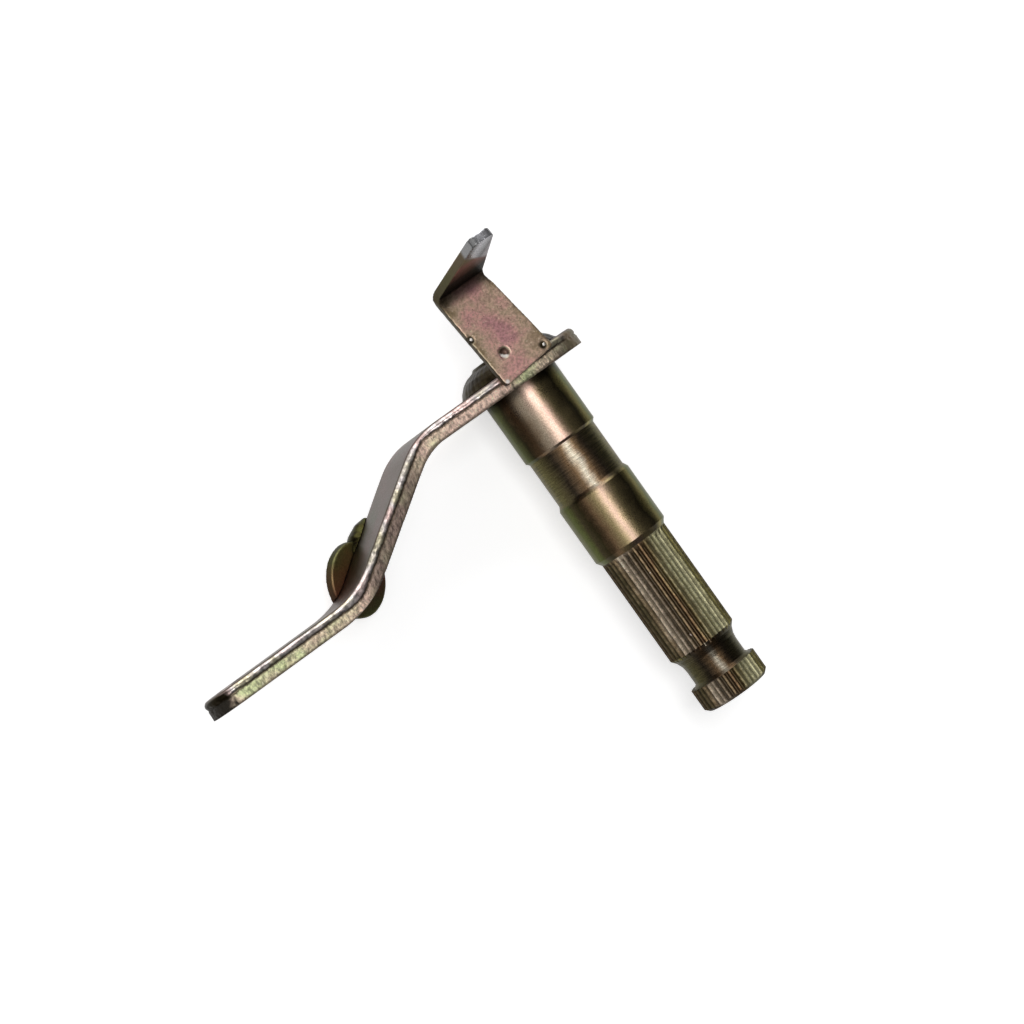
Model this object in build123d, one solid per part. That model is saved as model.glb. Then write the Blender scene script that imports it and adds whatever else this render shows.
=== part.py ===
# Rear brake pedal spindle with its welded, cranked brake lever, in millimetres.
#
# +Y runs along the spindle towards its serrated end, +X from the spindle towards the lever's tip, and
# +Z towards the side that carries the switch tab. The origin is on the spindle's axis, in the
# lever's inner face, where the spindle's shoulder seats.

from build123d import *
from math import acos, atan, cos, degrees, pi, radians, sin, tan
import os

os.makedirs("parts", exist_ok=True)

# Spindle
JOURNAL_D = 17.0
JOURNAL_1_LENGTH = 14.4
RELIEF_D = 15.8
RELIEF_LENGTH = 10.4
RELIEF_RISE = 1.1
JOURNAL_2_LENGTH = 13.8
JOURNAL_CHAMFER = 1.1
SERRATION_D = 15.4
SERRATION_DEPTH = 0.55
SERRATION_COUNT = 36
SERRATION_LENGTH = 24.2
SERRATION_RUN_OUT = 1.4
CREST_SHARE = 0.24
ROOT_SHARE = 0.16
NECK_D = 12.3
GROOVE_ARC_R = 5.0
GROOVE_LENGTH = 7.4
GROOVE_CORNER = 0.7
END_RING_LENGTH = 5.4
END_CHAMFER = 0.8
SPIGOT_D = 13.5
SPIGOT_PROUD = 4.2
SPIGOT_CHAMFER = 0.5
CENTRE_DRILL_D = 3.2
CENTRE_DRILL_ANGLE = 60.0
FIT_CLEARANCE = 0.05

# Lever
PLATE = 4.0
EYE_R = 15.3
NECK_X = 29.0
NECK_W = 16.5
WAIST_R = 40.0
TIP_X = 88.0
TIP_W = 12.8
ROD_HOLE_D = 6.4
CRANK_X = 29.0
CRANK_ANGLE = 32.5
CRANK_OFFSET = 18.6
CRANK_1_R = 14.0
CRANK_2_R = 20.0
DIE_ROLL = 0.7

# Weld round the spigot
WELD_LEG = 5.1
WELD_TOP_DROP = 0.3
WELD_CROWN = 0.75

# Switch tab and the weld behind it
TAB_SHEET = 1.9
TAB_YAW = 7.0
TAB_FOOT_X = 1.9
TAB_LAP = 2.0
TAB_FACE = 21.6
TAB_FOOT_W = 13.0
TAB_BEND_W = 11.7
TAB_LEAN = 2.7
TAB_SKEW = 1.4
TAB_CORNER_R = 0.9
TAB_BEND_R = 1.6
FLANGE_HEIGHT = 19.8
FLANGE_LEAN = 12.5
FLANGE_TIP_W = 5.2
FLANGE_CORNER_R = 1.6
DIMPLE_D = 2.6
DIMPLE_FLOOR_D = 0.9
DIMPLE_DEPTH = 0.6
DIMPLE_X = 4.8
DIMPLE_Y = -7.2
TAB_WELD_LEG = 2.6
TAB_WELD_LENGTH = 10.0

# Stop boss and its weld, placed along the lever's sloped run
BOSS_D = 15.6
BOSS_THICKNESS = 1.9
BOSS_CHAMFER = 0.3
BOSS_ALONG = 26.0
BOSS_ACROSS = 1.15
BOSS_LEAN = 26.8
BOSS_TILT = 7.1
BOSS_SEAT = 0.2
BEAD_ALONG = 18.6
BEAD_ACROSS = -1.1
BEAD_SEAT = 0.6
BEAD_LENGTH = 11.4
BEAD_WIDTH = 5.8

# Smoothness of the weld beads and of the groove's arc, as a number of flats
WELD_FLATS = 4
BEAD_FLATS = 6
GROOVE_FLATS = 3

# Places along the spindle, measured from its shoulder
journal_2_start = JOURNAL_1_LENGTH + RELIEF_LENGTH
journal_2_end = journal_2_start + RELIEF_RISE + JOURNAL_2_LENGTH
serration_end = journal_2_end + SERRATION_LENGTH
ring_start = serration_end + GROOVE_LENGTH
spindle_end = ring_start + END_RING_LENGTH
spigot_top = -PLATE - SPIGOT_PROUD

# The two cranks, where the lever's middle plane bends
crank_1 = Vector(CRANK_X, -PLATE / 2)
crank_2 = crank_1 + Vector(CRANK_OFFSET / tan(radians(CRANK_ANGLE)), CRANK_OFFSET)
slope_along = Vector(cos(radians(CRANK_ANGLE)), sin(radians(CRANK_ANGLE)))
slope_across = Vector(-slope_along.Y, slope_along.X)


def across_spindle(y):
    """A plane square to the spindle at y, which faces the serrated end. Its own y is -Z."""
    return Plane(origin=(0, y, 0), x_dir=(1, 0, 0), z_dir=(0, 1, 0))


def spindle_blank():
    """The turned shape, before its serrations are rolled."""
    journal, relief, serration = JOURNAL_D / 2, RELIEF_D / 2, SERRATION_D / 2
    neck, spigot = NECK_D / 2, SPIGOT_D / 2
    outline = [
        (0, spigot_top),
        (spigot - SPIGOT_CHAMFER, spigot_top),
        (spigot, spigot_top + SPIGOT_CHAMFER),
        (spigot, 0),
        (journal, 0),
        (journal, JOURNAL_1_LENGTH - (journal - relief)),
        (relief, JOURNAL_1_LENGTH),
        (relief, journal_2_start),
        (journal, journal_2_start + RELIEF_RISE),
        (journal, journal_2_end - JOURNAL_CHAMFER),
        (serration, journal_2_end),
    ]
    # The groove for the pinch bolt starts along an arc, from its edge down to the neck
    sweep = acos(1 - (serration - neck) / GROOVE_ARC_R)
    for step in range(GROOVE_FLATS + 1):
        turn = sweep * (1 - step / GROOVE_FLATS)
        radius = neck + GROOVE_ARC_R * (1 - cos(turn))
        outline.append((radius, serration_end + GROOVE_ARC_R * (sin(sweep) - sin(turn))))
    outline += [
        (neck, ring_start - GROOVE_CORNER),
        (neck + GROOVE_CORNER, ring_start),
        (serration, ring_start),
        (serration, spindle_end - END_CHAMFER),
        (serration - END_CHAMFER, spindle_end),
        (0, spindle_end),
        (0, spigot_top),
    ]
    return revolve(make_face(Polyline(*outline)), axis=Axis.Y)


def serration_cutter():
    """All that lies between the teeth, along the serrated length and the end ring."""
    crest = SERRATION_D / 2
    root = crest - SERRATION_DEPTH
    pitch = 2 * pi / SERRATION_COUNT
    half_root, half_crest = (1 - ROOT_SHARE) * pitch / 2, CREST_SHARE * pitch / 2
    corners = [(root, -half_root), (crest, -half_crest), (crest, half_crest), (root, half_root)]
    points = []
    for tooth in range(SERRATION_COUNT):
        for radius, turn in corners:
            angle = tooth * pitch + turn
            points.append((radius * cos(angle), radius * sin(angle)))
    teeth = Polygon(*points, align=None)
    gaps = Circle(JOURNAL_D / 2) - teeth
    return extrude(across_spindle(journal_2_end) * gaps, amount=spindle_end - journal_2_end + END_CHAMFER)


def run_out():
    """The ramps that the grooves climb to meet the second journal, one flat for each groove."""
    foot = RegularPolygon(SERRATION_D / 2, SERRATION_COUNT, major_radius=False)
    ramp_angle = degrees(atan(SERRATION_DEPTH / SERRATION_RUN_OUT))
    return extrude(across_spindle(journal_2_end) * foot, amount=SERRATION_RUN_OUT, taper=ramp_angle)


def centre_drill(diameter):
    """A centre drill's cone, with its mouth on the local origin and its tip below."""
    depth = diameter / 2 / tan(radians(CENTRE_DRILL_ANGLE / 2))
    return Cone(0, diameter / 2, depth, align=(Align.CENTER, Align.CENTER, Align.MAX))


def make_spindle():
    body = spindle_blank() - serration_cutter() + run_out()
    body -= across_spindle(spindle_end) * centre_drill(CENTRE_DRILL_D)
    body -= across_spindle(spigot_top) * Rot(180, 0, 0) * centre_drill(CENTRE_DRILL_D)
    return body


def bent_profile(corners, inside_radii, thickness):
    """The side view of a bent sheet, from its middle line's points and each bend's inside radius."""
    steps = [(end - start).normalized() for start, end in zip(corners, corners[1:])]
    normals = [Vector(-step.Y, step.X) for step in steps]
    sides = []
    for side in (1, -1):
        half = side * thickness / 2
        points, radii = [corners[0] + normals[0] * half], []
        for corner, before, after, inside in zip(corners[1:], normals, normals[1:], inside_radii):
            points.append(corner + (before + after) * (half / (1 + before.dot(after))))
            turns_left = before.cross(after).Z > 0
            radii.append(inside if turns_left == (side > 0) else inside + thickness)
        points.append(corners[-1] + normals[-1] * half)
        sides.append(FilletPolyline(*points, radius=radii))
    left, right = sides
    return make_face([left, Line(left @ 1, right @ 1), right, Line(right @ 0, left @ 0)])


def lever_outline():
    """The lever seen along the spindle: the eye, and an arm that narrows to its round tip."""
    places = ((0, EYE_R), (NECK_X, NECK_W / 2), (TIP_X, TIP_W / 2))
    eye, neck, tip = [Pos(x, 0) * Circle(radius) for x, radius in places]
    outline = make_hull([eye.edge(), neck.edge()]) + make_hull([neck.edge(), tip.edge()]) + tip
    waist = outline.vertices().group_by(lambda corner: abs(corner.X - NECK_X))[0]
    outline = fillet(waist, radius=WAIST_R)
    spigot_hole = Circle(SPIGOT_D / 2 + FIT_CLEARANCE)
    rod_hole = Pos(TIP_X, 0) * Circle(ROD_HOLE_D / 2)
    return outline - spigot_hole - rod_hole


def outer_rim(body):
    """The edges round the lever's outer face, which the die rolled over."""
    outer = [face for face in body.faces() if face.normal_at().Y < -0.6]
    edges = [edge for face in outer for edge in face.outer_wire().edges()]
    return [edge for edge in edges if sum(edge.is_same(other) for other in edges) == 1]


def make_lever():
    start = Vector(-EYE_R - PLATE, crank_1.Y)
    end = Vector(TIP_X + TIP_W, crank_2.Y)
    profile = bent_profile([start, crank_1, crank_2, end], [CRANK_1_R, CRANK_2_R], PLATE)
    sheet = extrude(profile, amount=EYE_R + PLATE, both=True)
    lowest, tallest = -2 * PLATE, CRANK_OFFSET + 2 * PLATE
    blank = extrude(across_spindle(lowest) * lever_outline(), amount=tallest - lowest)
    body = sheet & blank
    return chamfer(outer_rim(body), length=DIE_ROLL)


def make_spindle_weld():
    """A crowned fillet round the spigot, from the lever's outer face almost to the spigot's end."""
    inner = SPIGOT_D / 2 + FIT_CLEARANCE
    foot, toe = Vector(inner, -PLATE), Vector(inner + WELD_LEG, -PLATE)
    top = Vector(inner, spigot_top + WELD_TOP_DROP)
    outward = Vector(toe.Y - top.Y, top.X - toe.X).normalized()
    crown = [foot]
    for step in range(WELD_FLATS + 1):
        share = step / WELD_FLATS
        crown.append(toe + (top - toe) * share + outward * (4 * WELD_CROWN * share * (1 - share)))
    return revolve(make_face(Polyline(*crown, close=True)), axis=Axis.Y)


def tab_plane():
    """The tab's back face: it lies on the eye's rim, turned a little towards the arm.
    Its x runs across the tab, its y along the spindle and its z away from the lever."""
    facing = Vector(sin(radians(TAB_YAW)), 0, cos(radians(TAB_YAW)))
    return Plane(origin=facing * EYE_R, x_dir=(facing.Z, 0, -facing.X), z_dir=facing)


def make_switch_tab():
    foot_y = -PLATE + TAB_LAP
    bend_y = foot_y - TAB_FACE
    bend_x = TAB_FOOT_X + TAB_LEAN
    middle = TAB_SHEET / 2
    lean = radians(FLANGE_LEAN)
    rise = Vector(-sin(lean), cos(lean))
    corner = Vector(bend_y, middle)
    flange_length = (FLANGE_HEIGHT - middle) / cos(lean)
    foot = Vector(foot_y + TAB_SKEW, middle)
    profile = bent_profile([foot, corner, corner + rise * flange_length], [TAB_BEND_R], TAB_SHEET)
    # The side view's x is the tab's y, and its y is the tab's z
    side_view = Plane(origin=(0, 0, 0), x_dir=(0, 1, 0), z_dir=(1, 0, 0))
    strip = extrude(side_view * profile, amount=2 * TAB_FOOT_W, both=True)

    far_y = bend_y - FLANGE_HEIGHT
    cut = [
        (TAB_FOOT_X - TAB_FOOT_W / 2, foot_y - TAB_SKEW / 2),
        (TAB_FOOT_X + TAB_FOOT_W / 2, foot_y + TAB_SKEW / 2),
        (bend_x + TAB_BEND_W / 2, bend_y),
        (bend_x + TAB_BEND_W / 2, far_y),
        (bend_x - TAB_BEND_W / 2, far_y),
        (bend_x - TAB_BEND_W / 2, bend_y),
    ]
    outline = Polygon(*cut, align=None)
    outline = fillet(outline.vertices().sort_by(Axis.Y)[-2:], radius=TAB_CORNER_R)
    body = strip & extrude(outline, amount=2 * FLANGE_HEIGHT, both=True)

    # The flange's own plane, from the bend's corner upwards: one side is straight and one draws in
    flange = Plane(origin=(bend_x, corner.X, corner.Y), x_dir=(1, 0, 0), z_dir=(0, -rise.Y, rise.X))
    straight_x = -TAB_BEND_W / 2
    sides = [
        (straight_x, 0),
        (straight_x + TAB_BEND_W, 0),
        (straight_x + FLANGE_TIP_W, flange_length),
        (straight_x, flange_length),
    ]
    kept = Polygon(*sides, align=None)
    kept = fillet(kept.vertices().sort_by(Axis.Y)[-2:], radius=FLANGE_CORNER_R)
    reach = 2 * FLANGE_HEIGHT
    spare = Pos(0, reach / 2) * Rectangle(reach, reach) - kept
    body -= extrude(flange * spare, amount=2 * TAB_SHEET, both=True)

    # The dent that a centre punch left in the tab's front face
    dent = Cone(DIMPLE_FLOOR_D / 2, DIMPLE_D / 2, DIMPLE_DEPTH, align=(Align.CENTER, Align.CENTER, Align.MAX))
    body -= Pos(DIMPLE_X, DIMPLE_Y, TAB_SHEET) * dent
    return tab_plane() * body


def make_tab_weld(lever):
    """A fillet between the lever's outer face and the tab's back, which also fills the lap."""
    face_y, lap_y = -PLATE, -PLATE + TAB_LAP - TAB_SKEW
    section = Polygon(
        (face_y - TAB_WELD_LEG, 0),
        (lap_y, 0),
        (lap_y, -TAB_WELD_LEG),
        (face_y, -TAB_WELD_LEG),
        align=None,
    )
    side_view = Plane(origin=(TAB_FOOT_X, 0, 0), x_dir=(0, 1, 0), z_dir=(1, 0, 0))
    bead = extrude(side_view * section, amount=TAB_WELD_LENGTH / 2, both=True)
    return tab_plane() * bead - lever


def half_width(x):
    """The lever's half width between its neck and its tip."""
    share = (x - NECK_X) / (TIP_X - NECK_X)
    return (NECK_W + share * (TIP_W - NECK_W)) / 2


def far_edge(along, across):
    """A plane on the lever's far edge, some way up its sloped run from the first crank.
    Its x runs up the slope, its y across the sheet towards the serrated end, its z to the near side."""
    place = crank_1 + slope_along * along + slope_across * across
    middle_x = crank_1.X + slope_along.X * along
    return Plane(
        origin=(place.X, place.Y, -half_width(middle_x)),
        x_dir=(slope_along.X, slope_along.Y, 0),
        z_dir=(0, 0, 1),
    )


def make_stop_boss(lever):
    """A round sheet pad against the lever's far edge, which leans across it."""
    body = Cylinder(BOSS_D / 2, BOSS_THICKNESS, align=(Align.CENTER, Align.CENTER, Align.MAX))
    body = chamfer(body.faces().sort_by(Axis.Z)[-1].edges(), length=BOSS_CHAMFER)
    seat = far_edge(BOSS_ALONG, BOSS_ACROSS) * Pos(0, 0, -BOSS_SEAT)
    return seat * Rot(-BOSS_LEAN, -BOSS_TILT, 0) * body - lever


def make_boss_weld(lever, boss):
    """A short bead, fat in the middle, that runs along the lever's far edge onto the boss."""
    outline = []
    for step in range(BEAD_FLATS + 1):
        turn = pi * step / BEAD_FLATS
        outline.append((-BEAD_LENGTH / 2 * cos(turn), BEAD_WIDTH / 2 * sin(turn)))
    bead = revolve(make_face(Polyline(*outline, close=True)), axis=Axis.X)
    return far_edge(BEAD_ALONG, BEAD_ACROSS) * Pos(0, 0, -BEAD_SEAT) * bead - lever - boss


def main():
    lever = make_lever()
    boss = make_stop_boss(lever)
    parts = {
        "spindle": make_spindle(),
        "lever_arm": lever,
        "spindle_weld": make_spindle_weld(),
        "switch_tab": make_switch_tab(),
        "tab_weld": make_tab_weld(lever),
        "stop_boss": boss,
        "boss_weld": make_boss_weld(lever, boss),
    }
    for name, part in parts.items():
        export_step(part, f"parts/{name}.step")


main()
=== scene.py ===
from math import atan2, cos, degrees, hypot, pi, radians, sin, tan

import bmesh
import bpy
from mathutils import Matrix, Vector, noise


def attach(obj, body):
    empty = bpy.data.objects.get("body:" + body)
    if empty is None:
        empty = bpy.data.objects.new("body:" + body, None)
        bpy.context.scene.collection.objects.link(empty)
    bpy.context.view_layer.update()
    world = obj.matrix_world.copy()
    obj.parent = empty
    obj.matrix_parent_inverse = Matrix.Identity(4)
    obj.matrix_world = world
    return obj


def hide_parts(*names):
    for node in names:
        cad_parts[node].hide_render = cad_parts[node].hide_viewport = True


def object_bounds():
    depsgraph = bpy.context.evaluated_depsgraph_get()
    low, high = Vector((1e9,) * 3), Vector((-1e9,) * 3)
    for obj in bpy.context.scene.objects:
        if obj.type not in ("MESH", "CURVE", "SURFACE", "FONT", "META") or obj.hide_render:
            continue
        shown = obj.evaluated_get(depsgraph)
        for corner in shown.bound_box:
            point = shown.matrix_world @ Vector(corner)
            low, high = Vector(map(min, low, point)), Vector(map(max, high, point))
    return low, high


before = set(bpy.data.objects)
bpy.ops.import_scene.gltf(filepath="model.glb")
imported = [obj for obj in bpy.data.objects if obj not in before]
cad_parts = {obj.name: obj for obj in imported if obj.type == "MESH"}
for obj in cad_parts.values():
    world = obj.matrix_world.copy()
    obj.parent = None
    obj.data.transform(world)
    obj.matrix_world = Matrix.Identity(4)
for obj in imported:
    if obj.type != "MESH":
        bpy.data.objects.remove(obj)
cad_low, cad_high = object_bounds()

# The object is in metres, with +Y along the spindle, +X towards the lever's tip and +Z to the tab's side.
# Sizes of the object and patterns of its materials are given in millimetres, because grain, ripples and
# wear are that small.
MM = 0.001

# The camera's turn round the spindle, tilt and roll, and its distance from the spindle's axis in metres
CAMERA_TURN = radians(25.0)
CAMERA_TILT = 0.03
CAMERA_ROLL = 0.9531
CAMERA_DISTANCE = 0.6
CAMERA_CLIP = 0.01

# The camera's lens, and the pixel of the photograph that the object's origin falls on
FOCAL_PIXELS = 2940.0
FRAME_PIXELS = 1024
ORIGIN_PIXEL = (520.64, 385.74)
SENSOR_WIDTH = 36.0

# The spindle's lengths from its shoulder. The second journal's tint starts about halfway up the rise to it
JOURNAL_1_END = 14.4
JOURNAL_2_START = 24.8
JOURNAL_2_RISE = 0.6
JOURNAL_2_END = 39.7
SERRATION_END = 63.9
RING_START = 71.3
SPINDLE_END = 76.7

# The serrations, from the root of a tooth to its crest
ROOT_R = 7.15
CREST_R = 7.7

# The lever's sheet, its two cranks and its eye
SHEET = 4.0
CRANK_X = 29.0
CRANK_ANGLE = radians(32.5)
CRANK_OFFSET = 18.6
EYE_R = 15.3

# Along the lever, where the tear in its edge begins past the smooth end of the eye, and where it is full
TEAR_BEGINS = (-9.0, -5.0)

# Depths in the lever's sheet, which is -2 at its outer face and 2 at its inner: where the burnished lip
# gives way to torn metal, and the dark line and the roughness below it, as painted and as sunk
LIP_TO_TORN = (-0.65, -0.4)
LINE_PAINTED = (-0.65, -0.15)
LINE_SUNK = (-0.57, -0.15)
ROUGH_PAINTED = (-0.45, -0.05)
ROUGH_SUNK = (-0.45, 0.05)

# How deep the waves of the lever's edge are, the line, the tear, and the fine and coarse relief in it
WAVE_DEPTH = 0.05
LINE_DEPTH = 0.26
TEAR_DEPTH = 0.1
TEAR_RELIEF = 0.16
CHUNK_RELIEF = 0.08

# The beads of weld: ripples round the spigot, that bead's middle and half width, and the length of a
# ripple along the lever's edge
RING_RIPPLES = 44
RING_MIDDLE_R = 9.3
RING_HALF = 2.6
BEAD_RIPPLE = 1.3

# How deep the ripples and the lumps of both beads are, and the waves of the boss
RING_RIPPLE_DEPTH = 0.04
RING_LUMP_DEPTH = 0.2
BEAD_RIPPLE_DEPTH = 0.015
BEAD_LUMP_DEPTH = 0.12
BOSS_WAVE_DEPTH = 0.02

# The tab's turn round the spindle, its sheet, and about how far its flange reaches out from its foot
TAB_YAW = radians(7.0)
TAB_SHEET = 1.9
TAB_FOOT_R = EYE_R + TAB_SHEET
FLANGE_REACH = 20.0

# Along the spindle, where the painted shade of the tab's bend fades out on its face, where chips start to
# show on the face's edges, and how deep they are
BEND_SHADE = (-21.7, -19.6)
CHIPS_FROM = (-20.0, -19.0)
CHIP_DEPTH = 0.14

# Places on the tab, across it and along the spindle: its punched dent, a painted highlight on its foot's
# corner, and two balls of weld spatter
DENT = (4.8, -7.2)
DENT_R = 1.3
CORNER_HIGHLIGHT = (7.8, -2.1)
SPATTER = ((9.1, -13.0), (-2.8, -4.0))
SPATTER_R = 0.55
SPATTER_RING_R = 1.9 * SPATTER_R
SPATTER_RING_DEPTH = 0.14

# The floor's half width in metres and its grey, and how much it shines for the camera and in reflections
FLOOR_REACH = 1.5
FLOOR_GREY = 0.85
FLOOR_GLOW = 0.6
FLOOR_MIRRORED = 0.2

# The grey of the world, which fills the shadows a little
WORLD_GREY = 0.08

# The angle in degrees, from the camera's side, where a colour ramp round the spindle starts and ends. The
# ramps paint the zinc's tints together with highlights and reflections as seen from the camera's side
RAMP_START = -180.0 - degrees(CAMERA_TURN)

# Yellow zinc plate, from its pinkest to its greenest
MAUVE = (0.6, 0.31, 0.31)
PINK = (0.7, 0.4, 0.35)
ROSE = (0.5, 0.33, 0.27)
STRAW = (0.6, 0.43, 0.31)
SAND = (0.46, 0.37, 0.27)
CREAM = (0.42, 0.38, 0.3)
GOLD = (0.33, 0.26, 0.13)
LIME = (0.36, 0.3, 0.1)
GREEN = (0.13, 0.15, 0.04)

# Thicker and dirtier plate, from tan to black
CLAY = (0.36, 0.25, 0.19)
TAN = (0.3, 0.22, 0.13)
BROWN = (0.24, 0.15, 0.08)
OLIVE = (0.18, 0.16, 0.06)
UMBER = (0.1, 0.075, 0.05)
SMOKE = (0.075, 0.06, 0.03)
DARK = (0.045, 0.036, 0.016)
SOOT = (0.02, 0.015, 0.008)
BLACK = (0.012, 0.01, 0.005)

# Metal where the plate is chipped or nicked, and a painted highlight
PAINTED_HIGHLIGHT = (0.95, 0.9, 0.84)
CHIP = (0.8, 0.68, 0.48)
NICK = (0.68, 0.58, 0.53)

# Painted highlights on the serrations' crests
CREST_GREEN_HIGHLIGHT = (0.85, 0.8, 0.5)
CREST_PALE_HIGHLIGHT = (0.95, 0.8, 0.62)

# The lever's faces
FACE_ROSE = (0.17, 0.105, 0.09)
FACE_BROWN = (0.14, 0.1, 0.08)
FACE_OLIVE = (0.11, 0.1, 0.065)

# The lever's edge: its burnished lip, its torn metal with a painted glint, and the smooth end of its eye
LIP_ROSE = (0.7, 0.52, 0.48)
LIP_WHITE = (0.64, 0.58, 0.56)
LIP_STRAW = (0.62, 0.56, 0.4)
TORN_ROSE = (0.72, 0.52, 0.42)
TORN_STRAW = (0.72, 0.6, 0.42)
TORN_GREEN = (0.64, 0.68, 0.38)
TORN_PAINTED_GLINT = (0.9, 0.85, 0.62)
EYE_RUST = (0.15, 0.08, 0.035)
EYE_OLIVE = (0.12, 0.095, 0.03)
EYE_TAN = (0.17, 0.12, 0.065)

# The tab: the inside of its flange, the sides of its sheet, its bare steel tip in painted reflections, and
# painted shade in its dent
FLANGE_MAROON = (0.22, 0.11, 0.08)
FLANGE_ROSE = (0.4, 0.2, 0.16)
FLANGE_TAN = (0.3, 0.25, 0.15)
SIDE_OLIVE = (0.1, 0.09, 0.04)
SIDE_BROWN = (0.13, 0.1, 0.06)
STEEL_WARM = (0.4, 0.37, 0.38)
STEEL_DULL = (0.3, 0.27, 0.28)
STEEL_DARK = (0.12, 0.11, 0.11)
STEEL_LIGHT = (0.5, 0.5, 0.52)
STEEL_BRIGHT = (0.8, 0.8, 0.84)
STEEL_EDGE = (0.3, 0.3, 0.3)
DENT_SHADE = (0.15, 0.09, 0.07)

# The welds round the spigot and beside the boss
RING_BROWN = (0.035, 0.025, 0.012)
RING_OLIVE = (0.06, 0.05, 0.022)
BEAD_OLIVE = (0.045, 0.04, 0.013)
BEAD_GREEN = (0.07, 0.07, 0.022)

# The boss, from the lever's inner side to its outer side
BOSS_OLIVE = (0.17, 0.18, 0.07)
BOSS_BROWN = (0.14, 0.12, 0.05)
BOSS_RUST = (0.2, 0.08, 0.06)
BOSS_TAN = (0.26, 0.16, 0.08)
BOSS_GREEN = (0.2, 0.19, 0.08)


def camera_axes():
    """The camera's right and down, and the direction from the object to the camera."""
    toward = Vector((
        sin(CAMERA_TURN) * cos(CAMERA_TILT),
        -sin(CAMERA_TILT),
        cos(CAMERA_TURN) * cos(CAMERA_TILT),
    ))
    along = Vector((0, 1, 0))
    along = (along - toward * along.dot(toward)).normalized()
    across = along.cross(toward)
    right = along * cos(CAMERA_ROLL) - across * sin(CAMERA_ROLL)
    down = along * sin(CAMERA_ROLL) + across * cos(CAMERA_ROLL)
    return right, down, toward


def add_camera():
    """The camera, placed so that the object's origin falls on ORIGIN_PIXEL."""
    right, down, toward = camera_axes()
    middle = FRAME_PIXELS / 2
    shift_right = (ORIGIN_PIXEL[0] - middle) / FOCAL_PIXELS * CAMERA_DISTANCE
    shift_down = (ORIGIN_PIXEL[1] - middle) / FOCAL_PIXELS * CAMERA_DISTANCE
    place = toward * CAMERA_DISTANCE - right * shift_right - down * shift_down
    data = bpy.data.cameras.new("camera")
    data.sensor_width = SENSOR_WIDTH
    data.lens = FOCAL_PIXELS / FRAME_PIXELS * SENSOR_WIDTH
    data.clip_start = CAMERA_CLIP
    camera = bpy.data.objects.new("camera", data)
    turn = Matrix((right, -down, toward)).transposed().to_4x4()
    camera.matrix_world = Matrix.Translation(place) @ turn
    bpy.context.scene.collection.objects.link(camera)
    bpy.context.scene.camera = camera


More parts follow.
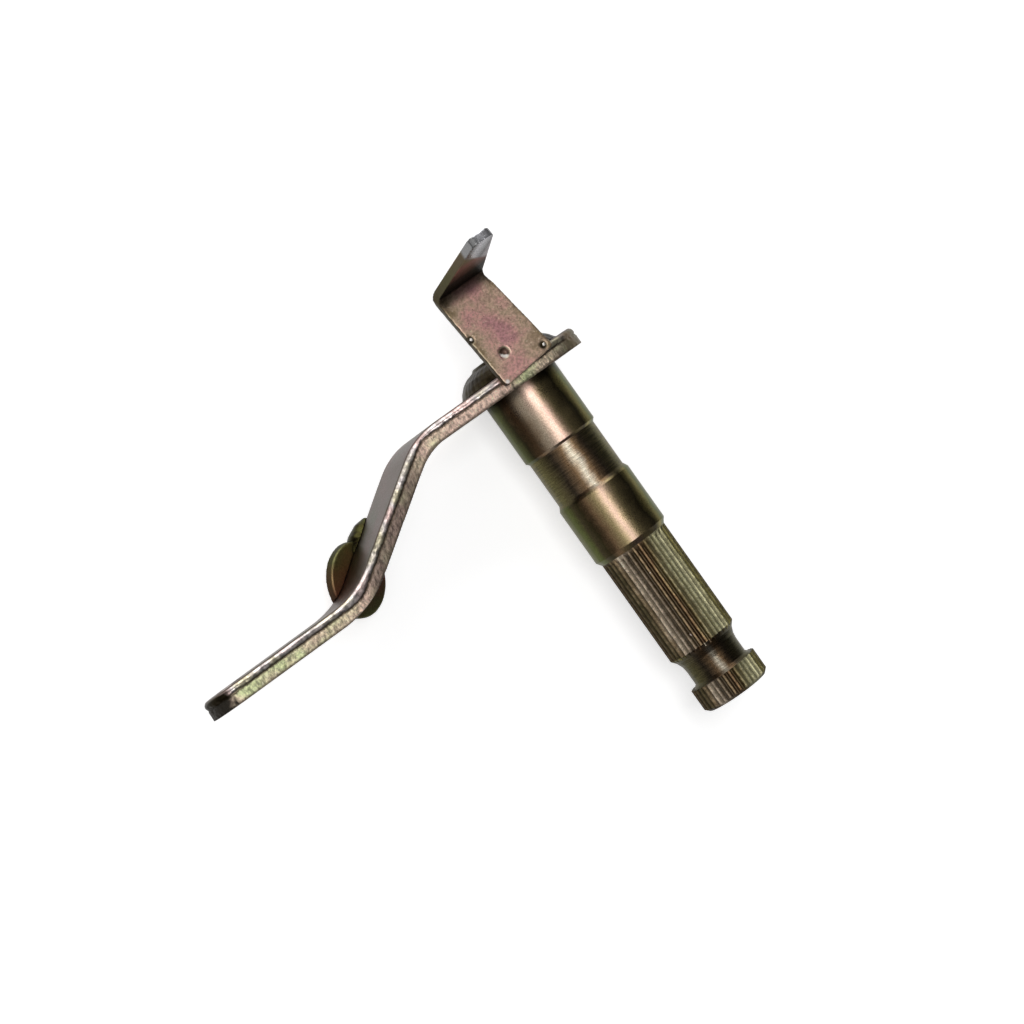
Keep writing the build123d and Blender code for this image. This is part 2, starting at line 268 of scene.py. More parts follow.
class Material:
    """Builds one procedural material. A value or a colour may be a socket or plain numbers."""

    def __init__(self, name):
        self.material = bpy.data.materials.new(name)
        self.material.use_nodes = True
        self.tree = self.material.node_tree
        self.shader = self.tree.nodes["Principled BSDF"]
        coordinates = self.tree.nodes.new("ShaderNodeTexCoord")
        scale = self.tree.nodes.new("ShaderNodeVectorMath")
        scale.operation = "SCALE"
        scale.inputs["Scale"].default_value = 1 / MM
        self.tree.links.new(coordinates.outputs["Object"], scale.inputs[0])
        self.place = scale.outputs[0]
        self.x, self.y, self.z = self.split(self.place)
        self.normal_x, self.normal_y, self.normal_z = self.split(coordinates.outputs["Normal"])
        self.bumps = None

    def feed(self, socket, value):
        if isinstance(value, bpy.types.NodeSocket):
            self.tree.links.new(value, socket)
        elif isinstance(value, tuple) and len(value) == 3 and len(socket.default_value) == 4:
            socket.default_value = (*value, 1)
        else:
            socket.default_value = value

    def split(self, vector):
        node = self.tree.nodes.new("ShaderNodeSeparateXYZ")
        self.feed(node.inputs[0], vector)
        return node.outputs[0], node.outputs[1], node.outputs[2]

    def join(self, x, y, z):
        node = self.tree.nodes.new("ShaderNodeCombineXYZ")
        for socket, value in zip(node.inputs, (x, y, z)):
            self.feed(socket, value)
        return node.outputs[0]

    def math(self, operation, *values, clamp=False):
        node = self.tree.nodes.new("ShaderNodeMath")
        node.operation = operation
        node.use_clamp = clamp
        for socket, value in zip(node.inputs, values):
            self.feed(socket, value)
        return node.outputs[0]

    def step(self, value, start, end, low=0.0, high=1.0):
        """A smooth step of value, from low at start to high at end."""
        node = self.tree.nodes.new("ShaderNodeMapRange")
        node.interpolation_type = "SMOOTHSTEP"
        for name, number in (("Value", value), ("From Min", start), ("From Max", end)):
            self.feed(node.inputs[name], number)
        self.feed(node.inputs["To Min"], low)
        self.feed(node.inputs["To Max"], high)
        return node.outputs[0]

    def band(self, value, start, end, soft):
        """1 between start and end, 0 outside, with soft edges."""
        rise = self.step(value, start - soft, start + soft)
        fall = self.step(value, end - soft, end + soft, 1.0, 0.0)
        return self.math("MULTIPLY", rise, fall)

    def noise(self, scale, detail=3.0, roughness=0.55, vector=None):
        """A cloudy pattern from 0 to 1, by the place in millimetres or by another vector."""
        node = self.tree.nodes.new("ShaderNodeTexNoise")
        self.feed(node.inputs["Vector"], self.place if vector is None else vector)
        node.inputs["Scale"].default_value = scale
        node.inputs["Detail"].default_value = detail
        node.inputs["Roughness"].default_value = roughness
        return node.outputs["Fac"]

    def sway(self, value, pattern, reach):
        """The value, moved either way by a pattern, by up to half of reach."""
        return self.math("MULTIPLY_ADD", self.math("SUBTRACT", pattern, 0.5), reach, value)

    def gap(self, first, second, first_middle, second_middle):
        """How far a point lies from a middle, by its two lengths in the surface."""
        first_way = self.math("SUBTRACT", first, first_middle)
        second_way = self.math("SUBTRACT", second, second_middle)
        second_square = self.math("MULTIPLY", second_way, second_way)
        return self.math("SQRT", self.math("MULTIPLY_ADD", first_way, first_way, second_square))

    def mix(self, share, first, second):
        """Colour first where share is 0, and second where it is 1."""
        node = self.tree.nodes.new("ShaderNodeMix")
        node.data_type = "RGBA"
        self.feed(node.inputs["Factor"], share)
        colours = [socket for socket in node.inputs if socket.type == "RGBA"]
        self.feed(colours[0], first)
        self.feed(colours[1], second)
        return next(socket for socket in node.outputs if socket.type == "RGBA")

    def shade(self, colour, amount):
        """The colour, made darker or lighter by a factor that varies over the surface."""
        node = self.tree.nodes.new("ShaderNodeVectorMath")
        node.operation = "SCALE"
        self.feed(node.inputs[0], colour)
        self.feed(node.inputs["Scale"], amount)
        return node.outputs[0]

    def mottle(self, colour, pattern, start, end, dark, light):
        """The colour, times dark where the pattern is at start and times light where it is at end."""
        return self.shade(colour, self.step(pattern, start, end, dark, light))

    def fleck(self, colour, pattern, start, end, mark, cover=1.0):
        """The colour, with marks of another where the pattern is past end, as strong as cover."""
        return self.mix(self.step(pattern, start, end, 0.0, cover), colour, mark)

    def ramp(self, share, *stops):
        """A colour ramp through (position, colour) stops."""
        node = self.tree.nodes.new("ShaderNodeValToRGB")
        elements = node.color_ramp.elements
        while len(elements) < len(stops):
            elements.new(0.5)
        for element, (position, colour) in zip(elements, stops):
            element.position = position
            element.color = (*colour, 1)
        self.feed(node.inputs["Fac"], share)
        return node.outputs["Color"]

    def bump(self, height, depth, strength):
        """Adds relief: height from 0 to 1, its depth in millimetres, and how strongly it shows."""
        node = self.tree.nodes.new("ShaderNodeBump")
        node.inputs["Strength"].default_value = strength
        node.inputs["Distance"].default_value = depth * MM
        self.feed(node.inputs["Height"], height)
        if self.bumps is not None:
            self.feed(node.inputs["Normal"], self.bumps)
        self.bumps = node.outputs["Normal"]

    def finish(self, colour, roughness, metallic=1.0):
        self.feed(self.shader.inputs["Base Color"], colour)
        self.feed(self.shader.inputs["Roughness"], roughness)
        self.feed(self.shader.inputs["Metallic"], metallic)
        if self.bumps is not None:
            self.feed(self.shader.inputs["Normal"], self.bumps)
        return self.material


def plate_and_reflections_round(m, turned, *stops):
    """Plate tint with painted highlights and reflections, which change round the spindle: stops of (degrees
    from the camera's side, colour).
    """
    return m.ramp(turned, *[((angle - RAMP_START) / 360.0, colour) for angle, colour in stops])


def turned_plate_and_reflections(m, turned):
    """The spindle's smooth lengths: two journals in their own tints, and a browner relief and groove. Round
    each, a painted highlight faces the camera, painted dark reflections lie either side of it, and painted
    green reflections of the floor lie at the rims.
    """
    first = plate_and_reflections_round(
        m, turned,
        (-150, GOLD), (-68, GREEN), (-53, LIME), (-43, SMOKE), (-22, GOLD), (-6, ROSE),
        (14, SAND), (32, BROWN), (48, DARK), (66, GREEN), (150, GOLD),
    )
    second = plate_and_reflections_round(
        m, turned,
        (-150, GOLD), (-68, GREEN), (-55, LIME), (-43, SMOKE), (-20, GOLD), (-5, CLAY),
        (8, GOLD), (22, BROWN), (35, DARK), (44, SMOKE), (56, GREEN), (150, GOLD),
    )
    relief = plate_and_reflections_round(
        m, turned,
        (-150, GOLD), (-60, OLIVE), (-27, UMBER), (-13, BROWN), (-4, CREAM),
        (8, BROWN), (27, UMBER), (60, OLIVE), (150, GOLD),
    )
    journal = m.mix(m.step(m.y, JOURNAL_1_END, JOURNAL_2_START), first, second)
    journals = m.math(
        "ADD",
        m.band(m.y, -SHEET, JOURNAL_1_END, 0.2),
        m.band(m.y, JOURNAL_2_START + JOURNAL_2_RISE, JOURNAL_2_END, 0.2),
        clamp=True,
    )
    return m.mix(journals, relief, journal)


def serrated_plate_and_reflections(m, turned, round_angle):
    """Each tooth's crest is painted with highlights in bands round the spindle, greener on one side, and
    its root is painted with shade.
    """
    # Painted highlights and dark reflections round the spindle, over the plate's tint
    crest = plate_and_reflections_round(
        m, turned,
        (-150, BROWN), (-60, OLIVE), (-44, CREST_GREEN_HIGHLIGHT), (-28, CREST_GREEN_HIGHLIGHT), (-14, GOLD), (-5, BROWN),
        (6, TAN), (20, SAND), (31, CREST_PALE_HIGHLIGHT), (42, TAN), (54, SMOKE), (150, BROWN),
    )
    worn_place = m.join(m.math("MULTIPLY", round_angle, 11.0), m.math("MULTIPLY", m.y, 0.9), 0.0)
    worn = m.noise(1.0, detail=4.0, roughness=0.7, vector=worn_place)
    tooth = m.mottle(crest, worn, 0.35, 0.65, 0.65, 1.4)
    radius = m.gap(m.x, m.z, 0.0, 0.0)
    # Painted shade in the roots of the teeth
    tooth = m.mix(m.step(radius, ROOT_R + 0.1, CREST_R), m.shade(crest, 0.4), tooth)
    return m.fleck(tooth, m.noise(1.3, detail=2.0, roughness=0.5), 0.74, 0.77, NICK)


def spindle_material():
    """Turned and rolled steel under yellow zinc, whose tints shift from rose to green round the shaft, with
    painted highlights and reflections in the same bands.
    """
    m = Material("zinc_turned")
    round_angle = m.math("ARCTAN2", m.x, m.z)
    from_camera = m.math("SUBTRACT", round_angle, CAMERA_TURN)
    cloud = m.noise(0.16, detail=4.0, roughness=0.6)
    turned = m.sway(m.math("MULTIPLY_ADD", from_camera, 0.5 / pi, -RAMP_START / 360.0), cloud, 0.07)
    grooved = m.band(m.y, SERRATION_END, RING_START, 0.2)
    serrated = m.math(
        "ADD",
        m.band(m.y, JOURNAL_2_END, SERRATION_END, 0.1),
        m.band(m.y, RING_START, SPINDLE_END, 0.1),
        clamp=True,
    )

    # Painted shadow beside the lever, which shades the spindle there, and darker in the groove
    colour = m.shade(turned_plate_and_reflections(m, turned), m.math("MULTIPLY_ADD", grooved, -0.45, 1.0))
    colour = m.mottle(colour, m.sway(m.y, cloud, 3.0), 0.2, 2.6, 0.25, 1.0)
    colour = m.mix(serrated, colour, serrated_plate_and_reflections(m, turned, round_angle))

    # Fine rings from the lathe, strongest in the relief and the groove, and the grain of the plate
    ring_place = m.join(m.math("MULTIPLY", m.y, 5.0), m.math("MULTIPLY", round_angle, 1.6), 0.0)
    rings = m.noise(1.0, detail=4.0, roughness=0.7, vector=ring_place)
    grain = m.noise(4.5, roughness=0.75)
    ringed = m.math("ADD", m.band(m.y, JOURNAL_1_END, JOURNAL_2_START, 0.3), grooved)
    colour = m.mottle(colour, grain, 0.3, 0.75, 0.55, 1.3)
    colour = m.mottle(colour, m.sway(0.5, rings, ringed), 0.38, 0.62, 0.7, 1.3)
    m.bump(m.math("MULTIPLY", rings, m.math("MULTIPLY_ADD", ringed, 0.8, 0.2)), 0.07, 0.7)
    m.bump(grain, 0.016, 0.5)
    polish = m.math("ADD", m.math("MULTIPLY", cloud, 0.5), m.math("MULTIPLY", grain, 0.5))
    gloss = m.step(polish, 0.3, 0.7, 0.25, 0.4)
    return m.finish(colour, m.math("MULTIPLY_ADD", serrated, 0.2, gloss))


def sheet_depth(m):
    """How deep a point lies in the lever's sheet: 0 in its middle, -2 at the outer face."""
    first = m.math("ADD", m.y, SHEET / 2)
    run = m.math("MULTIPLY", m.math("SUBTRACT", m.x, CRANK_X), -sin(CRANK_ANGLE))
    second = m.math("MULTIPLY_ADD", first, cos(CRANK_ANGLE), run)
    third = m.math("ADD", m.y, SHEET / 2 - CRANK_OFFSET)
    inner = m.math("SMOOTH_MIN", first, second, 1.5)
    return m.math("SMOOTH_MAX", inner, third, 2.5)


def torn_plate(m, torn, tint, slope):
    """The torn part of the edge: rose to green along the lever, with painted glints, and painted shade on
    the slope.
    """
    by_tab = m.math("MULTIPLY", m.band(m.x, 2.0, 9.0, 2.0), 0.14)
    far = m.math("MULTIPLY", m.step(m.x, CRANK_X + 26, CRANK_X + 34), 0.11)
    greening = m.math("ADD", m.math("ADD", tint, by_tab), m.math("MULTIPLY_ADD", slope, -0.08, far))
    colour = m.ramp(greening, (0.44, TORN_ROSE), (0.58, TORN_STRAW), (0.7, TORN_GREEN))
    colour = m.mottle(colour, torn, 0.34, 0.66, 0.65, 1.6)
    colour = m.mottle(colour, m.x, -5.0, 1.0, 0.4, 1.0)
    colour = m.fleck(colour, m.noise(1.9, detail=2.0, roughness=0.6), 0.64, 0.7, TORN_PAINTED_GLINT)
    # Painted shade: the torn metal is darker along the sloped run
    return m.shade(colour, m.math("MULTIPLY_ADD", slope, -0.68, 1.0))


def lever_material():
    """Stamped steel: satin faces, and a sheared edge with a burnished lip, a line and torn metal."""
    m = Material("zinc_stamped")
    depth = sheet_depth(m)
    cut = m.step(m.math("ABSOLUTE", m.normal_y), 0.62, 0.82, 1.0, 0.0)
    slope = m.band(m.x, CRANK_X + 3, CRANK_X + 28, 5.0)
    cloud = m.noise(0.12, detail=4.0, roughness=0.6)
    grain = m.noise(3.2, roughness=0.7)
    tint = m.noise(0.13, detail=2.0, roughness=0.5)

    face = m.ramp(cloud, (0.32, FACE_ROSE), (0.5, FACE_BROWN), (0.68, FACE_OLIVE))
    face = m.mottle(face, grain, 0.3, 0.75, 0.76, 1.0)

    # The lip is wavy and shifts from rose to white and straw
    lip = m.ramp(tint, (0.38, LIP_ROSE), (0.5, LIP_WHITE), (0.62, LIP_STRAW))
    lip = m.mottle(lip, m.noise(0.9, roughness=0.6), 0.36, 0.6, 0.6, 1.2)

    # The tear is drawn out across the sheet, so it varies mostly along the lever
    drawn_x = m.math("MULTIPLY", m.x, 1.7)
    drawn_depth = m.math("MULTIPLY", depth, 1.1)
    drawn_z = m.math("MULTIPLY", m.z, 1.7)
    torn = m.noise(1.0, detail=4.0, roughness=0.65, vector=m.join(drawn_x, drawn_depth, drawn_z))
    ragged = m.sway(depth, torn, 0.5)
    edge = m.mix(m.step(ragged, *LIP_TO_TORN), lip, torn_plate(m, torn, tint, slope))
    edge = m.mix(m.math("MULTIPLY", m.band(ragged, *LINE_PAINTED, 0.22), 0.92), edge, UMBER)

    # The edge is dark towards the inner face, and painted shade darkens the edge where it faces towards the
    # lever's tip
    edge = m.mix(m.math("MULTIPLY", m.step(depth, 1.3, 1.8), 0.8), edge, UMBER)
    edge = m.mix(m.step(m.normal_x, 0.25, 0.6), edge, SOOT)

    # The rounded end of the eye is smooth, olive and brown
    eye_cloud = m.noise(0.2, detail=2.0, roughness=0.5)
    eye_end = m.ramp(eye_cloud, (0.36, EYE_RUST), (0.52, EYE_OLIVE), (0.66, EYE_TAN))
    torn_along = m.step(m.x, *TEAR_BEGINS)
    edge = m.mix(torn_along, eye_end, edge)
    colour = m.mix(cut, face, edge)

    rough_edge = m.math("MULTIPLY", m.math("MULTIPLY", cut, m.step(ragged, *ROUGH_PAINTED)), torn_along)
    m.bump(m.math("MULTIPLY", torn, rough_edge), 0.35, 0.8)
    m.bump(grain, 0.012, 0.4)
    roughness = m.math("MULTIPLY_ADD", rough_edge, 0.14, m.step(grain, 0.3, 0.7, 0.28, 0.4))
    return m.finish(colour, roughness, m.math("MULTIPLY_ADD", rough_edge, -0.45, 1.0))


def along_tab(m, x, z):
    """The parts of a vector across the tab and out from the spindle, by its x and z."""
    across = m.math("MULTIPLY_ADD", x, cos(TAB_YAW), m.math("MULTIPLY", z, -sin(TAB_YAW)))
    out = m.math("MULTIPLY_ADD", x, sin(TAB_YAW), m.math("MULTIPLY", z, cos(TAB_YAW)))
    return across, out


def tab_face(m, across, cloud, speck):
    """The tab's face: rose in its middle and tan to its long edges, speckled, and painted with shade near
    the bend.
    """
    aside = m.math("MULTIPLY", m.math("ABSOLUTE", m.math("SUBTRACT", across, 3.0)), 0.055)
    colour = m.ramp(m.math("ADD", aside, cloud), (0.42, MAUVE), (0.58, PINK), (0.78, STRAW), (0.95, TAN))
    colour = m.mottle(colour, speck, 0.32, 0.66, 0.72, 1.2)
    dust = m.math("MULTIPLY_ADD", aside, 0.12, m.noise(2.2, detail=2.0, roughness=0.6))
    colour = m.fleck(colour, dust, 0.66, 0.72, CHIP, 0.8)
    colour = m.fleck(colour, m.noise(1.6, roughness=0.6), 0.34, 0.28, UMBER, 0.75)
    # Painted shade near the bend
    return m.shade(colour, m.step(m.y, *BEND_SHADE, 0.2, 1.0))


def tab_flange(m, across, out, bare):
    """The flange: painted shade in its bend, then maroon and rose, and steel where it is worn bare, painted
    with reflections.
    """
    reach = m.math("DIVIDE", out, FLANGE_REACH)
    # Painted shade in the bend, on the inside of the flange and on the sides of its sheet
    inner = m.ramp(
        reach,
        (0.0, BLACK), (0.24, BLACK), (0.4, FLANGE_MAROON), (0.5, FLANGE_ROSE), (0.62, FLANGE_TAN),
    )
    side = m.ramp(reach, (0.0, SMOKE), (0.3, SIDE_OLIVE), (0.6, SIDE_BROWN))
    plated = m.mix(m.step(m.math("ABSOLUTE", m.normal_y), 0.25, 0.8), side, inner)
    # Painted reflections: lighter and darker sweeps across the bare steel
    painted_reflection_sweep = m.math("MULTIPLY_ADD", out, 0.35, across)
    steel = m.ramp(
        m.math("MULTIPLY", painted_reflection_sweep, 0.1),
        (0.08, STEEL_WARM), (0.36, STEEL_DULL), (0.46, STEEL_DARK), (0.62, STEEL_LIGHT),
        (0.8, STEEL_BRIGHT), (0.95, STEEL_EDGE),
    )
    return m.mix(bare, plated, steel)


def tab_material():
    """Sheet steel with a matt rose plate, speckled, and bare metal at the flange's tip, painted with bright
    reflections.
    """
    m = Material("zinc_sheet")
    facing_across, facing = along_tab(m, m.normal_x, m.normal_z)
    facing_size = m.math("ABSOLUTE", facing)
    across, height = along_tab(m, m.x, m.z)
    out = m.math("SUBTRACT", height, TAB_FOOT_R)
    cloud = m.noise(0.2)
    speck = m.noise(1.8, detail=4.0, roughness=0.7)

    # The flange is bare above a slanting line
    bare = m.step(m.math("SUBTRACT", m.math("MULTIPLY_ADD", cloud, 1.5, out), across), 8.6, 10.0)
    plated = m.math("SUBTRACT", 1.0, bare)
    fronting = m.math("MULTIPLY", m.step(facing_size, 0.4, 0.8), m.step(out, 1.5, 3.0, 1.0, 0.0))
    colour = m.mix(fronting, tab_flange(m, across, out, bare), tab_face(m, across, cloud, speck))

    # The edges of the face are chipped in places, but not in the bend
    chips = m.math("MULTIPLY", m.step(m.noise(0.8, roughness=0.65), 0.47, 0.55), m.step(m.y, *CHIPS_FROM))
    chipped = m.math("MULTIPLY", m.band(facing_size, 0.6, 0.94, 0.05), chips)
    colour = m.mix(m.math("MULTIPLY", chipped, plated), colour, CHIP)

    # A dark ring lies round each ball of spatter, and a painted highlight lies on one corner of the foot
    for ball_across, ball_along in SPATTER:
        near = m.gap(across, m.y, ball_across, ball_along)
        colour = m.mix(m.step(near, SPATTER_R, SPATTER_RING_R, 0.92, 0.0), colour, DARK)
    colour = m.mix(m.step(m.gap(across, m.y, *CORNER_HIGHLIGHT), 0.2, 0.6, 1.0, 0.0), colour, PAINTED_HIGHLIGHT)

    # Painted light and shade in the dent: its wall is painted bright where it faces the flange, and its
    # floor is painted dark
    in_dent = m.step(m.gap(across, m.y, *DENT), 0.6 * DENT_R, 1.05 * DENT_R, 1.0, 0.0)
    dent_side = m.math("MULTIPLY_ADD", facing_across, -0.58, m.math("MULTIPLY", m.normal_y, -0.82))
    lit = m.step(dent_side, 0.1, 0.4)
    dent_light_and_shade = m.mix(lit, DENT_SHADE, PAINTED_HIGHLIGHT)
    colour = m.mix(m.math("MULTIPLY", in_dent, m.step(facing, 0.5, 0.8)), colour, dent_light_and_shade)

    m.bump(m.math("MULTIPLY", speck, plated), 0.035, 0.6)
    roughness = m.math("MULTIPLY_ADD", bare, -0.2, m.step(speck, 0.3, 0.7, 0.38, 0.52))
    metallic = m.math("MULTIPLY_ADD", m.math("MULTIPLY", in_dent, lit), -0.85, 0.85)
    return m.finish(colour, roughness, metallic)


def weld_material(name, low, middle, high):
    """A weld bead's plate in three cloudy tints, with a few pale specks."""
    m = Material(name)
    cloud = m.noise(0.35, roughness=0.6)
    grain = m.noise(3.0, roughness=0.7)
    colour = m.ramp(cloud, (0.38, low), (0.5, middle), (0.68, high))
    colour = m.mottle(colour, grain, 0.3, 0.7, 0.7, 1.2)
    colour = m.fleck(colour, m.noise(1.1, detail=2.0, roughness=0.5), 0.72, 0.76, CHIP)
    m.bump(grain, 0.04, 0.5)
    return m.finish(colour, m.step(cloud, 0.3, 0.7, 0.26, 0.4))


def spatter_material():
    """A ball of weld metal, painted with shade round its foot and with a highlight where it faces out."""
    m = Material("zinc_spatter")
    facing = along_tab(m, m.normal_x, m.normal_z)[1]
    painted_top_highlight = m.step(facing, 0.72, 0.9)
    grain = m.noise(3.0, detail=2.0, roughness=0.6)
    m.bump(grain, 0.02, 0.5)
    roughness = m.step(grain, 0.3, 0.7, 0.3, 0.45)
    return m.finish(m.mix(painted_top_highlight, DARK, PAINTED_HIGHLIGHT), roughness, m.math("MULTIPLY_ADD", painted_top_highlight, -0.4, 1.0))


def boss_material():
    """Plate that runs from olive through rust to green along the spindle's direction, with painted shade on
    its rim.
    """
    m = Material("zinc_boss")
    cloud = m.noise(0.25, roughness=0.6)
    grain = m.noise(3.0, detail=2.0, roughness=0.6)
    share = m.math("MULTIPLY_ADD", cloud, 0.5, m.math("MULTIPLY_ADD", m.y, -0.065, 1.1))
    colour = m.ramp(
        share,
        (0.02, BOSS_OLIVE), (0.14, BOSS_BROWN), (0.4, BOSS_RUST), (0.7, BOSS_TAN), (0.98, BOSS_GREEN),
    )
    # Painted shade on the rim
    colour = m.mottle(colour, m.math("ABSOLUTE", m.normal_z), 0.4, 0.9, 0.3, 1.0)
    colour = m.mottle(colour, grain, 0.3, 0.7, 0.8, 1.15)
    m.bump(grain, 0.012, 0.4)
    return m.finish(colour, m.step(cloud, 0.3, 0.7, 0.4, 0.5))


def ease(value, start, end):
    """0 up to start, 1 from end, and a smooth rise between them."""
    share = min(max((value - start) / (end - start), 0.0), 1.0)
    return share * share * (3 - 2 * share)


def between(value, start, end, soft):
    """1 between start and end, 0 outside, with soft edges."""
    return ease(value, start - soft, start + soft) * (1 - ease(value, end - soft, end + soft))


def remade(node, material, hollow_at, voxel, rounds):
    """A fine mesh in a node's place: remeshed at voxel mm, smoothed in rounds, and pressed in.

    hollow_at(place, normal) says how far a point is pressed in, in millimetres.
    """
    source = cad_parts[node]
    piece = bpy.data.objects.new(node + "_skin", source.data.copy())
    bpy.context.scene.collection.objects.link(piece)
    remesh = piece.modifiers.new("remesh", "REMESH")
    remesh.mode = "VOXEL"
    remesh.voxel_size = voxel * MM
    remesh.use_smooth_shade = True
    smooth = piece.modifiers.new("smooth", "SMOOTH")
    smooth.factor = 0.5
    smooth.iterations = rounds
    graph = bpy.context.evaluated_depsgraph_get()
    mesh = bpy.data.meshes.new_from_object(piece.evaluated_get(graph))
    piece.modifiers.clear()
    piece.data = mesh

    normals = [vertex.normal.copy() for vertex in mesh.vertices]
    for vertex, normal in zip(mesh.vertices, normals):
        vertex.co -= normal * (hollow_at(vertex.co / MM, normal) * MM)
    mesh.materials.clear()
    mesh.materials.append(material)
    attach(piece, "root")
    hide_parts(node)


def lever_depth(place):
    """How deep a point lies in the lever's sheet: 0 in its middle, -2 at the outer face."""
    first = place.y + SHEET / 2
    second = first * cos(CRANK_ANGLE) - (place.x - CRANK_X) * sin(CRANK_ANGLE)
    third = place.y + SHEET / 2 - CRANK_OFFSET
    return max(min(first, second), third)


def lever_hollow(place, normal):
    """The torn part of the sheared edge, the line where the tear starts, and the wavy lip over it."""
    cut = 1 - ease(abs(normal.y), 0.3, 0.6)
    if cut == 0:
        return 0.0
    depth = lever_depth(place)
    torn = noise.noise(Vector((place.x * 1.2, depth * 0.7, place.z * 1.2)))
    chunk = noise.noise(place * 0.55)
    ragged = depth + 0.25 * torn + 0.25 * chunk
    line = between(ragged, *LINE_SUNK, 0.2)
    rough = ease(ragged, *ROUGH_SUNK) * ease(place.x, *TEAR_BEGINS)
    wave = WAVE_DEPTH * (1 + noise.noise(place * 0.9))
    tear = TEAR_DEPTH + TEAR_RELIEF * torn + CHUNK_RELIEF * chunk
    return wave + cut * (LINE_DEPTH * line + rough * tear)


def tab_parts(vector):
    """The parts of a vector across the tab, along the spindle and out from the spindle's axis."""
    across = vector.x * cos(TAB_YAW) - vector.z * sin(TAB_YAW)
    out = vector.x * sin(TAB_YAW) + vector.z * cos(TAB_YAW)
    return across, vector.y, out


def tab_hollow(place, normal):
    """The tab's chipped edges, and the sunk ring round each ball of spatter."""
    across, along, out = tab_parts(place)
    hollow = 0.0
    for ball_across, ball_along in SPATTER:
        gap = hypot(across - ball_across, along - ball_along)
        if out > EYE_R + TAB_SHEET / 2:
            hollow += SPATTER_RING_DEPTH * (1 - ease(gap, SPATTER_R, SPATTER_RING_R))
    facing = abs(tab_parts(normal)[2])
    edge = between(facing, 0.25, 0.85, 0.15) * (1 - ease(out, TAB_FOOT_R, TAB_FOOT_R + TAB_SHEET))
    return hollow + CHIP_DEPTH * edge * max(0.0, noise.noise(place * 0.9) + 0.1)


def ring_hollow(place, normal):
    """The ripples of the weld round the spigot, bowed across the bead, and its lumps."""
    radius = hypot(place.x, place.z)
    bow = ((radius - RING_MIDDLE_R) / RING_HALF) ** 2
    ripple = abs(sin(RING_RIPPLES / 2 * atan2(place.x, place.z) + 0.9 * bow))
    lump = noise.noise(place * 0.35)
    return RING_RIPPLE_DEPTH * (1 - ripple) + RING_LUMP_DEPTH * (1 + lump)


def bead_hollow(place, normal):
    """The faint ripples and lumps of the short bead along the lever's far edge."""
    along = place.x * cos(CRANK_ANGLE) + place.y * sin(CRANK_ANGLE)
    ripple = abs(sin(pi * along / BEAD_RIPPLE))
    lump = noise.noise(place * 0.45)
    return BEAD_RIPPLE_DEPTH * (1 - ripple) + BEAD_LUMP_DEPTH * (1 + lump)


def boss_hollow(place, normal):
    """A faint waviness, as thin sheet has after it is cut and welded."""
    return BOSS_WAVE_DEPTH * (1 + noise.noise(place * 0.5))


def add_spatter(material):
    """Small balls of weld metal that stuck to the tab."""
    builder = bmesh.new()
    facing = Vector((sin(TAB_YAW), 0, cos(TAB_YAW)))
    across = Vector((cos(TAB_YAW), 0, -sin(TAB_YAW)))
    for ball_across, ball_along in SPATTER:
        middle = facing * TAB_FOOT_R + across * ball_across + Vector((0, ball_along, 0))
        turn = Matrix.Translation(middle * MM)
        made = bmesh.ops.create_icosphere(builder, subdivisions=3, radius=SPATTER_R * MM, matrix=turn)
        for vertex in made["verts"]:
            spread = 0.12 * noise.noise(vertex.co / MM * 2.5)
            vertex.co += (vertex.co - middle * MM) * spread
    mesh = bpy.data.meshes.new("spatter")
    builder.to_mesh(mesh)
    builder.free()
    for polygon in mesh.polygons:
        polygon.use_smooth = True
    mesh.materials.append(material)
    piece = bpy.data.objects.new("spatter", mesh)
    bpy.context.scene.collection.objects.link(piece)
    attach(piece, "root")


def dress(node, material):
    """Gives a CAD node its material."""
    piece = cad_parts[node]
    piece.data.materials.clear()
    piece.data.materials.append(material)


def floor_material():
    """Pale and matt. It shines a little for the camera and in reflections, and keeps the shadow."""
    m = Material("floor")
    paths = m.tree.nodes.new("ShaderNodeLightPath").outputs
    mirrored = m.math("MAXIMUM", paths["Is Glossy Ray"], paths["Is Transmission Ray"])
    faint = m.math("MULTIPLY", mirrored, FLOOR_MIRRORED)
    m.feed(m.shader.inputs["Specular IOR Level"], 0.0)
    m.feed(m.shader.inputs["Emission Color"], (1.0, 1.0, 1.0))
    glow = m.math("MULTIPLY_ADD", paths["Is Camera Ray"], FLOOR_GLOW, faint)
    m.feed(m.shader.inputs["Emission Strength"], glow)
    return m.finish((FLOOR_GREY, FLOOR_GREY, FLOOR_GREY), 0.9, metallic=0.0)


def add_floor():
    """A wide floor at the object's lowest point."""
    floor_z = cad_low[2]
    corners = [(x * FLOOR_REACH, y * FLOOR_REACH, floor_z) for x, y in ((-1, -1), (1, -1), (1, 1), (-1, 1))]
    mesh = bpy.data.meshes.new("floor")
    mesh.from_pydata(corners, [], [(0, 1, 2, 3)])
    floor = bpy.data.objects.new("floor", mesh)
    bpy.context.scene.collection.objects.link(floor)
    mesh.materials.append(floor_material())


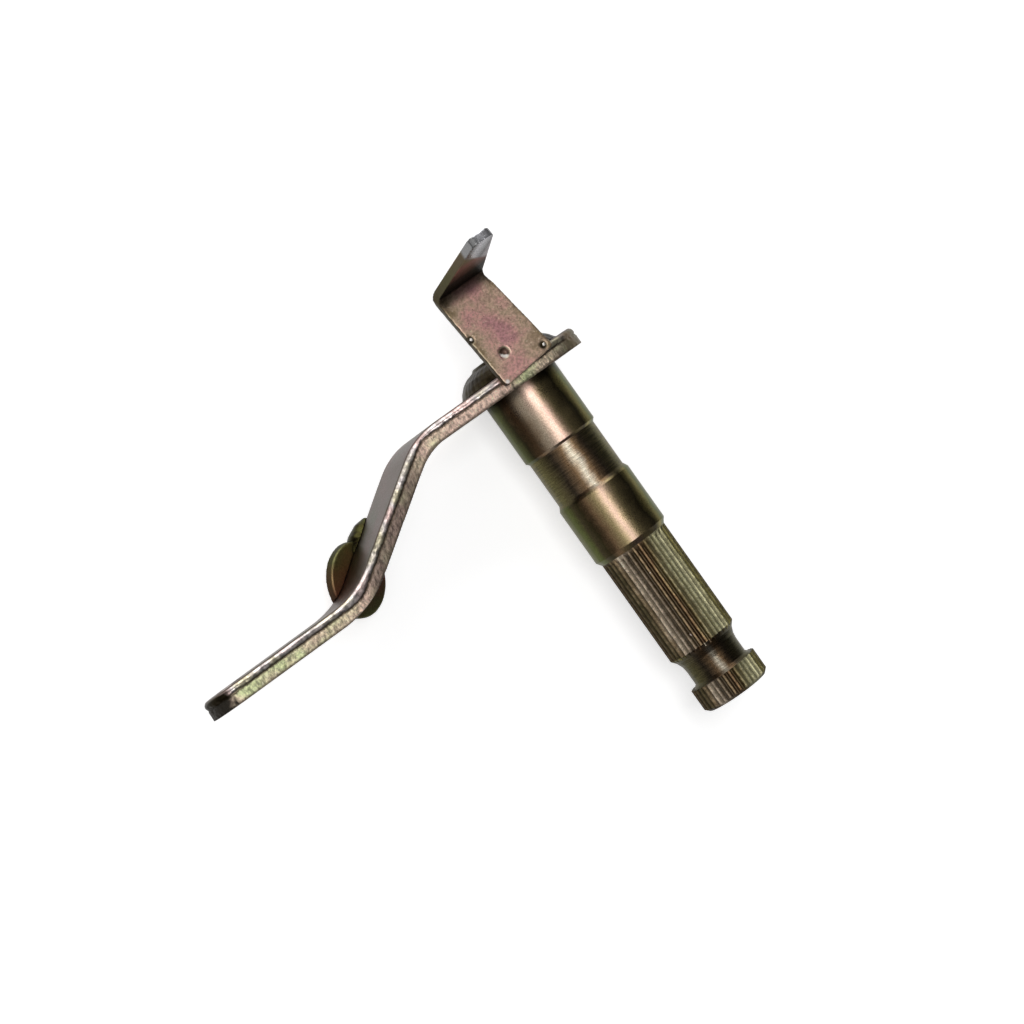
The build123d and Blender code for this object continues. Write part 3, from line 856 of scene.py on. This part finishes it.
def round_spindle(angle):
    """A direction from the object, turned by some degrees round the spindle from the camera's."""
    turn = CAMERA_TURN + radians(angle)
    return Vector((sin(turn), -sin(CAMERA_TILT), cos(turn)))


def add_light(name, direction, distance, half_angle, radiance):
    """A square soft box that faces the object, by how wide and how bright it looks from there."""
    size = 2 * distance * tan(half_angle)
    data = bpy.data.lights.new(name, "AREA")
    data.shape = "SQUARE"
    data.size = size
    data.energy = radiance * pi * size * size
    lamp = bpy.data.objects.new(name, data)
    lamp.location = direction.normalized() * distance
    lamp.rotation_euler = direction.to_track_quat("Z", "Y").to_euler()
    bpy.context.scene.collection.objects.link(lamp)


def add_lights():
    """A narrow key light by the camera, a wide weak one, one on the lever's outer side, and a dim world."""
    add_light("key_light", round_spindle(-9), distance=1.2, half_angle=radians(12), radiance=5.0)
    add_light("wide_light", round_spindle(15), distance=1.3, half_angle=radians(32), radiance=0.5)
    outer_side = Vector((-0.15, -0.9, 0.4))
    add_light("edge_light", outer_side, distance=1.2, half_angle=radians(24), radiance=2.5)
    world = bpy.data.worlds.new("world")
    world.use_nodes = True
    background = world.node_tree.nodes["Background"]
    background.inputs["Color"].default_value = (WORLD_GREY, WORLD_GREY, WORLD_GREY, 1)
    background.inputs["Strength"].default_value = 1.0
    bpy.context.scene.world = world


add_camera()
add_lights()
add_floor()

dress("spindle", spindle_material())
remade("lever_arm", lever_material(), lever_hollow, voxel=0.28, rounds=2)
remade("switch_tab", tab_material(), tab_hollow, voxel=0.16, rounds=6)
ring_plate = weld_material("spindle_bead", SOOT, RING_BROWN, RING_OLIVE)
remade("spindle_weld", ring_plate, ring_hollow, voxel=0.2, rounds=4)
bead_plate = weld_material("boss_bead", SOOT, BEAD_OLIVE, BEAD_GREEN)
remade("boss_weld", bead_plate, bead_hollow, voxel=0.15, rounds=6)
dress("tab_weld", weld_material("tab_bead", DARK, UMBER, OLIVE))
add_spatter(spatter_material())
remade("stop_boss", boss_material(), boss_hollow, voxel=0.16, rounds=6)

bpy.context.scene.view_settings.view_transform = "Standard"
